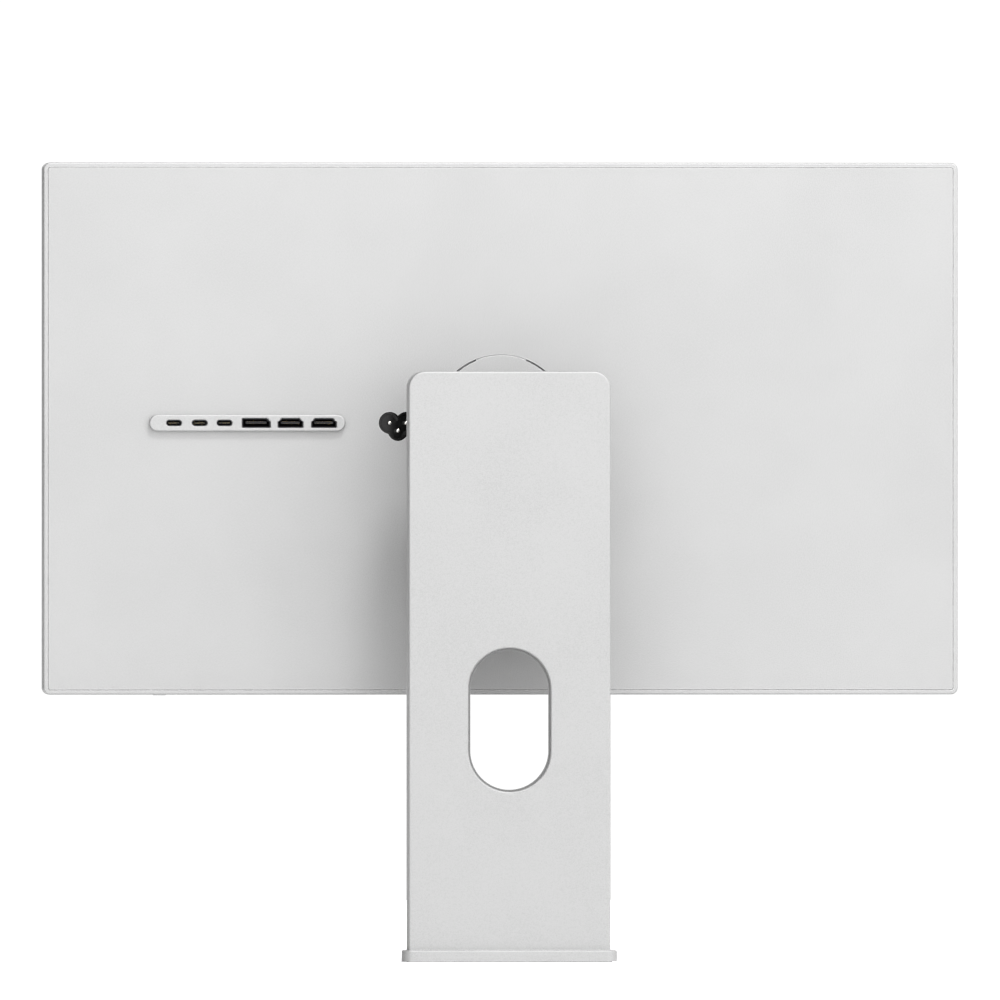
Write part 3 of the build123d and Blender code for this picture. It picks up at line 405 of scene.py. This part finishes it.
def moulded_plastic(name, colour, roughness, grain, depth):
    """A matt moulding with a fine spark texture and paler worn corners."""
    made, tree, shader = fresh_material(name)
    shader.inputs["Specular IOR Level"].default_value = 0.3
    texture = place_group(tree, "fine_grain", {"Size": grain, "Mottle": 0.4})
    wear_and_highlight = place_group(tree, "edge_wear_and_highlight", {"Reach": 0.3 * MM, "Strength": 0.5})
    tone = tinted(tree, texture.outputs["Tone"], colour, low=0.8, high=1.25)
    base = layered(tree, wear_and_highlight.outputs["Mask"], tone, cast(colour, 1.6, lift=0.01))
    tree.links.new(base, shader.inputs["Base Color"])
    rough = ranged(tree, texture.outputs["Tone"], roughness - 0.08, roughness + 0.1)
    tree.links.new(rough, shader.inputs["Roughness"])
    bumped(tree, shader, texture.outputs["Height"], depth)
    return made


def gloss_plastic(name, colour):
    """A polished black moulding with a trace of dust in it."""
    made, tree, shader = fresh_material(name)
    shader.inputs["Specular IOR Level"].default_value = 0.28
    dust = place_group(tree, "fine_dust", {"Amount": 0.06})
    base = layered(tree, dust.outputs["Mask"], colour, cast(colour, 1.0, lift=0.02))
    tree.links.new(base, shader.inputs["Base Color"])
    tree.links.new(ranged(tree, dust.outputs["Mask"], 0.10, 0.42), shader.inputs["Roughness"])
    texture = place_group(tree, "fine_grain", {"Size": 2.0 * MM, "Mottle": 0.2})
    bumped(tree, shader, texture.outputs["Height"], depth=0.004 * MM)
    return made


def cover_glass(name):
    """Clear cover glass, bloomed so that it mirrors little, with faint dust and waviness."""
    made, tree, shader = fresh_material(name)
    shader.inputs["Transmission Weight"].default_value = 1.0
    shader.inputs["IOR"].default_value = 1.22
    dust = place_group(tree, "fine_dust", {"Amount": 0.02})
    clear, cloudy = (0.93, 0.94, 0.94), (0.80, 0.80, 0.80)
    base = layered(tree, dust.outputs["Mask"], clear, cloudy)
    tree.links.new(base, shader.inputs["Base Color"])
    tree.links.new(ranged(tree, dust.outputs["Mask"], 0.01, 0.12), shader.inputs["Roughness"])
    bumped(tree, shader, noise(tree, own_place(tree), 9.0), depth=0.02 * MM)
    return made


def brick_grid(tree, width, height, gap, offset, colours):
    """Bricks in upright rows, for screens and boards. Colours are two bricks' and the gap's."""
    upright = add(tree, "ShaderNodeMapping", {"Vector": own_place(tree)})
    upright.inputs["Rotation"].default_value = (math.radians(90), 0, 0)
    sizes = {"Scale": 1.0, "Brick Width": width, "Row Height": height, "Mortar Size": gap}
    shades = {key: (*shade, 1) for key, shade in zip(("Color1", "Color2", "Mortar"), colours)}
    inputs = {"Vector": upright.outputs[0], **sizes, **shades}
    return add(tree, "ShaderNodeTexBrick", inputs, offset=offset).outputs


def screen_cell(name):
    """A switched-off screen: near black, with rows and columns of picture elements."""
    made, tree, shader = fresh_material(name)
    shader.inputs["Specular IOR Level"].default_value = 0.12
    elements = (0.010, 0.011, 0.013), (0.012, 0.013, 0.015)
    rows = brick_grid(
        tree,
        width=ELEMENT_PITCH,
        height=ELEMENT_PITCH,
        gap=ELEMENT_PITCH * 0.12,
        offset=0.0,
        colours=(*elements, (0.004, 0.004, 0.005)),
    )
    tree.links.new(rows["Color"], shader.inputs["Base Color"])
    tree.links.new(ranged(tree, rows["Fac"], 0.22, 0.4), shader.inputs["Roughness"])
    return made


def circuit_lacquer(name, colour):
    """Lacquered board with tracks that run square to each other under the lacquer."""
    made, tree, shader = fresh_material(name)
    shader.inputs["Coat Weight"].default_value = 0.4
    tracks = brick_grid(
        tree,
        width=11.0 * MM,
        height=1.6 * MM,
        gap=0.22 * MM,
        offset=0.37,
        colours=(colour, cast(colour, 0.85), cast(colour, 1.9, lift=0.01)),
    )
    tree.links.new(tracks["Color"], shader.inputs["Base Color"])
    tree.links.new(ranged(tree, tracks["Fac"], 0.3, 0.45), shader.inputs["Roughness"])
    bumped(tree, shader, tracks["Fac"], depth=0.03 * MM)
    return made


# ---------------------------------------------------------------- mesh helpers


def settle(mesh, name, material, body):
    """Turns a bmesh into a finished piece that rides on a body."""
    bmesh.ops.remove_doubles(mesh, verts=mesh.verts, dist=1e-7)
    bmesh.ops.recalc_face_normals(mesh, faces=mesh.faces)
    limit = math.radians(SHARPEST_SMOOTH)
    for face in mesh.faces:
        face.smooth = True
    for edge in mesh.edges:
        edge.smooth = len(edge.link_faces) == 2 and edge.calc_face_angle() < limit
    data = bpy.data.meshes.new(name)
    mesh.to_mesh(data)
    mesh.free()
    piece = bpy.data.objects.new(name, data)
    bpy.context.scene.collection.objects.link(piece)
    data.materials.append(material)
    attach(piece, body)
    return piece


def turned(mesh, profile, centre, axis, steps):
    """A profile of (radius, distance along the axis) points, spun about the axis."""
    along = Vector(axis).normalized()
    out = along.orthogonal().normalized()
    points = [mesh.verts.new(Vector(centre) + out * r + along * d) for r, d in profile]
    edges = [mesh.edges.new(pair) for pair in zip(points, points[1:])]
    bmesh.ops.spin(
        mesh,
        geom=points + edges,
        cent=centre,
        axis=along,
        angle=math.tau,
        steps=steps,
        use_merge=True,
    )


def curved(radius, rim, rise, steps):
    """The profile of a round hollow or dome, from its middle out to its rim."""
    return [(radius * n / steps, rim + rise * (1 - (n / steps) ** 2)) for n in range(steps + 1)]


def bevelled_bar(mesh, low, high, width):
    """A small block between two corners with softened edges."""
    size = Vector(high) - Vector(low)
    middle = (Vector(high) + Vector(low)) / 2
    place = Matrix.Translation(middle) @ Matrix.Diagonal((*size, 1))
    made = bmesh.ops.create_cube(mesh, size=1.0, matrix=place)
    edges = {edge for vert in made["verts"] for edge in vert.link_edges}
    bmesh.ops.bevel(
        mesh,
        geom=list(edges),
        offset=width,
        affect="EDGES",
        segments=1,
        profile=0.5,
        material=-1,
    )


# ---------------------------------------------------------------- operators


def dress(node, material):
    """Puts a material on one CAD node."""
    materials = NODES[node].data.materials
    materials.clear()
    materials.append(material)


def coat(slot, material):
    """Puts a material on every CAD node of a record slot."""
    for part in frame["record"]["subparts"]:
        if part["material_slot"] == slot:
            dress(part["node"], material)


class COMPUTER_OT_finish_metal(Operator):
    """Bead-blasted aluminium on the display housing, the stand and the hub."""

    bl_idname = "computer.finish_metal"
    bl_label = "Finish the aluminium"

    def execute(self, context):
        finish = context.scene.computer_finish
        texture = (finish.grain, finish.grain_depth, finish.roughness)
        coat("housing_aluminium", blasted_metal("housing_blasted", finish.housing, *texture))
        coat("stand_aluminium", blasted_metal("stand_blasted", finish.stand, *texture))
        coat("disc_aluminium", blasted_metal("hub_blasted", finish.disc, *texture))
        coat("joint_aluminium", blasted_metal("joint_satin", finish.disc, *texture))
        dress("cable_hole_liner", blasted_metal("liner_satin", finish.liner, *texture))
        skin = {"grain": 1.2 * MM, "depth": 0.03 * MM, "roughness": 0.6}
        coat("cast_metal", blasted_metal("die_cast", (0.50, 0.50, 0.51), **skin))
        return {"FINISHED"}


class COMPUTER_OT_finish_hardware(Operator):
    """Steel, nickel, copper and plain aluminium on shafts, rods, springs and sockets."""

    bl_idname = "computer.finish_hardware"
    bl_label = "Finish the hardware"

    def execute(self, context):
        finish = context.scene.computer_finish
        shell = {"mouth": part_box("oval_sockets")[1].y, "reach": 1.5 * MM}
        # Painted shade: dark shells that darken further from the mouth inward, for the shade in the
        # sockets.
        coat("socket_shells", painted_shade_metal("socket_black_nickel_and_shade", finish.black_nickel_and_shade, **shell))
        coat("socket_plating", drawn_metal("pin_plating", finish.nickel, 0.16, 0.3 * MM))
        coat("heat_copper", drawn_metal("bare_copper", finish.copper, 0.26, 0.4 * MM))
        lid = {"roughness": 0.42, "line": 0.6 * MM, "metallic": 0.6}
        coat("drive_metal", drawn_metal("drive_lid", (0.34, 0.35, 0.36), **lid))
        for slot, name, *look in METAL_COATS:
            coat(slot, drawn_metal(name, *look))
        return {"FINISHED"}


class COMPUTER_OT_finish_mouldings(Operator):
    """Plastics, rubber, boards and lacquers."""

    bl_idname = "computer.finish_mouldings"
    bl_label = "Finish the mouldings"

    def execute(self, context):
        finish = context.scene.computer_finish
        for slot, name, *look in PLASTIC_COATS:
            coat(slot, moulded_plastic(name, *look))
        spark = {"roughness": 0.6, "grain": 0.6 * MM, "depth": 0.02 * MM}
        coat("dark_plastic", moulded_plastic("matt_moulding", finish.black_matt, **spark))
        pimples = {"roughness": 0.82, "grain": 1.1 * MM, "depth": 0.08 * MM}
        coat("pad_rubber", moulded_plastic("pad_rubber", finish.rubber, **pimples))
        coat("inlet_plastic", gloss_plastic("inlet_gloss", finish.black_gloss))
        coat("circuit_board", circuit_lacquer("board_lacquer", finish.board))
        return {"FINISHED"}


class COMPUTER_OT_finish_screen(Operator):
    """Cover glass over a dark, switched-off screen."""

    bl_idname = "computer.finish_screen"
    bl_label = "Finish the screen"

    def execute(self, context):
        coat("screen_glass", cover_glass("cover_glass"))
        coat("screen_cell", screen_cell("dark_cell"))
        return {"FINISHED"}


def contact_row(mesh, low, high, count, detail):
    """Gold contacts along both sides of a tongue, from near its root to near its tip."""
    pitch = (high.x - low.x) / (count + 1)
    root, tip = low.y + detail.contact_root, high.y - detail.contact_tip
    half, thick = detail.contact_width / 2, detail.contact_thick
    for n in range(count):
        x = low.x + pitch * (n + 1)
        for z in (low.z, high.z):
            near, far = (x - half, root, z - thick), (x + half, tip, z + thick)
            bevelled_bar(mesh, near, far, width=thick * 0.4)


def islands(node):
    """Corner pairs of each separate solid in a CAD node, from left to right along X."""
    copy = bmesh.new()
    copy.from_mesh(NODES[node].data)
    bmesh.ops.remove_doubles(copy, verts=copy.verts, dist=1e-6)
    left, found = set(copy.verts), []
    while left:
        stack, members = [left.pop()], []
        while stack:
            vert = stack.pop()
            members.append(vert.co.copy())
            for edge in vert.link_edges:
                other = edge.other_vert(vert)
                if other in left:
                    left.remove(other)
                    stack.append(other)
        axes = list(zip(*members))
        found.append(tuple(Vector([pick(axis) for axis in axes]) for pick in (min, max)))
    copy.free()
    return sorted(found, key=lambda pair: pair[0].x)


class COMPUTER_OT_socket_contacts(Operator):
    """Rows of gold contacts on the tongue of every socket."""

    bl_idname = "computer.socket_contacts"
    bl_label = "Socket contacts"

    def execute(self, context):
        finish, detail = context.scene.computer_finish, context.scene.computer_detail
        gold = drawn_metal("contact_gold", finish.gold, 0.2, 0.2 * MM)
        oval, video = bmesh.new(), bmesh.new()
        for low, high in islands("oval_socket_tongues"):
            contact_row(oval, low, high, detail.oval_contacts, detail)
        for low, high in islands("video_socket_tongues"):
            contact_row(video, low, high, detail.video_contacts, detail)
        settle(oval, "oval_socket_contacts", gold, "display")
        settle(video, "video_socket_contacts", gold, "display")
        return {"FINISHED"}


class COMPUTER_OT_inlet_pins(Operator):
    """Three turned pins with domed tips in the mains inlet."""

    bl_idname = "computer.inlet_pins"
    bl_label = "Inlet pins"

    def execute(self, context):
        finish, detail = context.scene.computer_finish, context.scene.computer_detail
        mesh = bmesh.new()
        for low, high in islands("inlet_pins"):
            radius, root, tip = (high.x - low.x) / 2, low.y, high.y
            angles = [math.radians(degrees) for degrees in range(0, 90, 15)]
            dome = [
                (radius * math.cos(a), tip - radius * detail.pin_dome * (1 - math.sin(a)))
                for a in angles
            ]
            profile = [(0, root), (radius, root), *dome, (0, tip)]
            centre = Vector(((low.x + high.x) / 2, 0, (low.z + high.z) / 2))
            turned(mesh, profile, centre, (0, 1, 0), detail.rounds)
        metal = drawn_metal("pin_nickel", finish.nickel, 0.12, 0.3 * MM)
        pins = settle(mesh, "turned_inlet_pins", metal, "display")
        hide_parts("inlet_pins")
        return {"FINISHED"}


class COMPUTER_OT_power_button(Operator):
    """A turned power button with a shallow dish for the fingertip and a collar inside the frame."""

    bl_idname = "computer.power_button"
    bl_label = "Power button"

    def execute(self, context):
        finish, detail = context.scene.computer_finish, context.scene.computer_detail
        low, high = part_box("power_button")
        centre = Vector(((low.x + high.x) / 2, (low.y + high.y) / 2, 0))
        collar = (high.x - low.x) / 2
        shoulder = high.z - detail.button_collar_thick
        radius, lip = collar - detail.button_collar, detail.button_lip
        profile = [
            *curved(radius * detail.dish_share, low.z, detail.dish_depth, steps=6),
            (radius - lip, low.z),
            (radius - lip * 0.3, low.z + lip * 0.3),
            (radius, low.z + lip),
            (radius, shoulder),
            (collar, shoulder),
            (collar, high.z),
            (0, high.z),
        ]
        mesh = bmesh.new()
        turned(mesh, profile, centre, (0, 0, 1), detail.rounds)
        polish = {"grain": finish.grain, "depth": finish.grain_depth, "roughness": 0.4}
        metal = blasted_metal("button_blasted", finish.housing, **polish)
        button = settle(mesh, "dished_power_button", metal, "button")
        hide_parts("power_button")
        return {"FINISHED"}


class COMPUTER_OT_camera_lens(Operator):
    """The front lens of the camera, behind the cover glass."""

    bl_idname = "computer.camera_lens"
    bl_label = "Camera lens"

    def execute(self, context):
        detail = context.scene.computer_detail
        low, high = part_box("camera_module")
        centre = Vector(((low.x + high.x) / 2, 0, (low.z + high.z) / 2 - detail.lens_drop))
        radius, edge = detail.lens_radius, low.y + detail.lens_inset
        profile = [
            *curved(radius, edge, -detail.lens_sag, steps=8),
            (radius, edge + detail.lens_edge),
            (0, edge + detail.lens_edge),
        ]
        mesh = bmesh.new()
        turned(mesh, profile, centre, (0, 1, 0), detail.rounds)
        coating = gloss_plastic("coated_lens", (0.02, 0.01, 0.04))
        settle(mesh, "camera_front_lens", coating, "display")
        return {"FINISHED"}


# ---------------------------------------------------------------- studio


def aim(thing, place, target):
    """Puts a camera or a lamp at a place and points it at a target."""
    thing.location = place
    way = Vector(target) - Vector(place)
    thing.rotation_euler = way.to_track_quat("-Z", "Y").to_euler()
    bpy.context.scene.collection.objects.link(thing)


def place_camera(scene, stage):
    """A long lens almost straight behind the computer."""
    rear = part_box("rear_cover")[1].y
    target = Vector((stage.target_side, rear, stage.target_height))
    turn = math.radians(stage.yaw)
    data = bpy.data.cameras.new("view_camera")
    data.lens = data.sensor_width * stage.distance / stage.view_width
    data.clip_end = stage.view_end
    camera = bpy.data.objects.new("view_camera", data)
    aim(camera, target + stage.distance * Vector((math.sin(turn), math.cos(turn), 0)), target)
    scene.camera = camera


def soft_light(name, place, target, size, power):
    """A round lamp that points at a target."""
    data = bpy.data.lights.new(name, "AREA")
    data.shape, data.size, data.energy = "DISK", size, power
    aim(bpy.data.objects.new(name, data), place, target)


def lay_floor(scene, stage):
    """A pale floor. To the camera it glows, so that it runs into the white behind it."""
    mesh = bmesh.new()
    bmesh.ops.create_grid(mesh, x_segments=1, y_segments=1, size=stage.floor_size)
    data = bpy.data.meshes.new("studio_floor")
    mesh.to_mesh(data)
    mesh.free()
    floor = bpy.data.objects.new("studio_floor", data)
    floor.location.z = -stage.floor_drop
    scene.collection.objects.link(floor)
    made, tree, shader = fresh_material("floor_paint")
    texture = place_group(tree, "fine_grain", {"Size": 10.0 * MM, "Mottle": 0.3})
    paint = tinted(tree, texture.outputs["Tone"], stage.floor, low=0.99, high=1.01)
    tree.links.new(paint, shader.inputs["Base Color"])
    shader.inputs["Roughness"].default_value = 0.9
    shader.inputs["Emission Color"].default_value = (1, 1, 1, 1)
    looked_at = add(tree, "ShaderNodeLightPath").outputs["Is Camera Ray"]
    glow = maths(tree, "MULTIPLY", looked_at, stage.floor_glow)
    tree.links.new(glow, shader.inputs["Emission Strength"])
    data.materials.append(made)


def dimming(tree, along, power, amount):
    """How much light is lost toward the two ends of a direction."""
    ends = maths(tree, "POWER", maths(tree, "ABSOLUTE", along), power)
    return maths(tree, "MULTIPLY", ends, amount)


def white_surroundings(scene, stage):
    """White all round to look at, and as light brighter from one side than from the other."""
    world = bpy.data.worlds.new("white_surroundings")
    world.use_nodes = True
    scene.world = world
    tree = world.node_tree
    way = add(tree, "ShaderNodeTexCoord").outputs["Generated"]
    side = add(tree, "ShaderNodeVectorMath", {0: way, 1: stage.sky_way}, operation="DOT_PRODUCT")
    parts = add(tree, "ShaderNodeSeparateXYZ", {0: way}).outputs
    dimmed = maths(tree, "SUBTRACT", 1.0, dimming(tree, parts["Z"], 2.0, stage.waist))
    dimmed = maths(tree, "SUBTRACT", dimmed, dimming(tree, parts["X"], 4.0, stage.flank))
    share = maths(tree, "ADD", side.outputs["Value"], dimmed)
    light = maths(tree, "MULTIPLY", maths(tree, "MAXIMUM", share, stage.sky_least), stage.sky)
    looked_at = add(tree, "ShaderNodeLightPath").outputs["Is Camera Ray"]
    strength = add(tree, "ShaderNodeMix", {0: looked_at, 2: light, 3: stage.backdrop})
    back = tree.nodes["Background"]
    back.inputs["Color"].default_value = (1, 1, 1, 1)
    tree.links.new(strength.outputs[0], back.inputs["Strength"])


class COMPUTER_OT_stage(Operator):
    """Camera, pale floor, white surroundings and two soft lights."""

    bl_idname = "computer.stage"
    bl_label = "Studio"

    def execute(self, context):
        scene, stage = context.scene, context.scene.computer_stage
        place_camera(scene, stage)
        lay_floor(scene, stage)
        white_surroundings(scene, stage)
        scene.view_settings.view_transform = "Standard"
        lit = Vector((0, 0, stage.lit_height))
        soft_light("key_high", stage.key_place, lit, stage.key_size, stage.key)
        soft_light("front_soft", stage.front_place, lit, stage.front_size, stage.front)
        return {"FINISHED"}


STEPS = (
    COMPUTER_OT_stage,
    COMPUTER_OT_finish_metal,
    COMPUTER_OT_finish_hardware,
    COMPUTER_OT_finish_mouldings,
    COMPUTER_OT_finish_screen,
    COMPUTER_OT_socket_contacts,
    COMPUTER_OT_inlet_pins,
    COMPUTER_OT_power_button,
    COMPUTER_OT_camera_lens,
)


class COMPUTER_PT_sidebar(Panel):
    """Every step of the finishing, in order."""

    bl_idname = "COMPUTER_PT_sidebar"
    bl_label = "Computer"
    bl_space_type = "VIEW_3D"
    bl_region_type = "UI"
    bl_category = "Computer"

    def draw(self, context):
        for setting in SETTINGS:
            group = getattr(context.scene, setting)
            box = self.layout.box()
            for name in group.__annotations__:
                box.prop(group, name)
        for step in STEPS:
            self.layout.operator(step.bl_idname)


SETTINGS = {
    "computer_finish": FinishSettings,
    "computer_detail": DetailSettings,
    "computer_stage": StageSettings,
}


def register():
    for made in (*SETTINGS.values(), *STEPS, COMPUTER_PT_sidebar):
        bpy.utils.register_class(made)
    for name, group in SETTINGS.items():
        setattr(bpy.types.Scene, name, PointerProperty(type=group))


def unregister():
    for name in SETTINGS:
        delattr(bpy.types.Scene, name)
    for made in reversed((*SETTINGS.values(), *STEPS, COMPUTER_PT_sidebar)):
        bpy.utils.unregister_class(made)


def main():
    register()
    for step in STEPS:
        family, action = step.bl_idname.split(".")
        getattr(getattr(bpy.ops, family), action)()


if __name__ == "__main__":
    main()
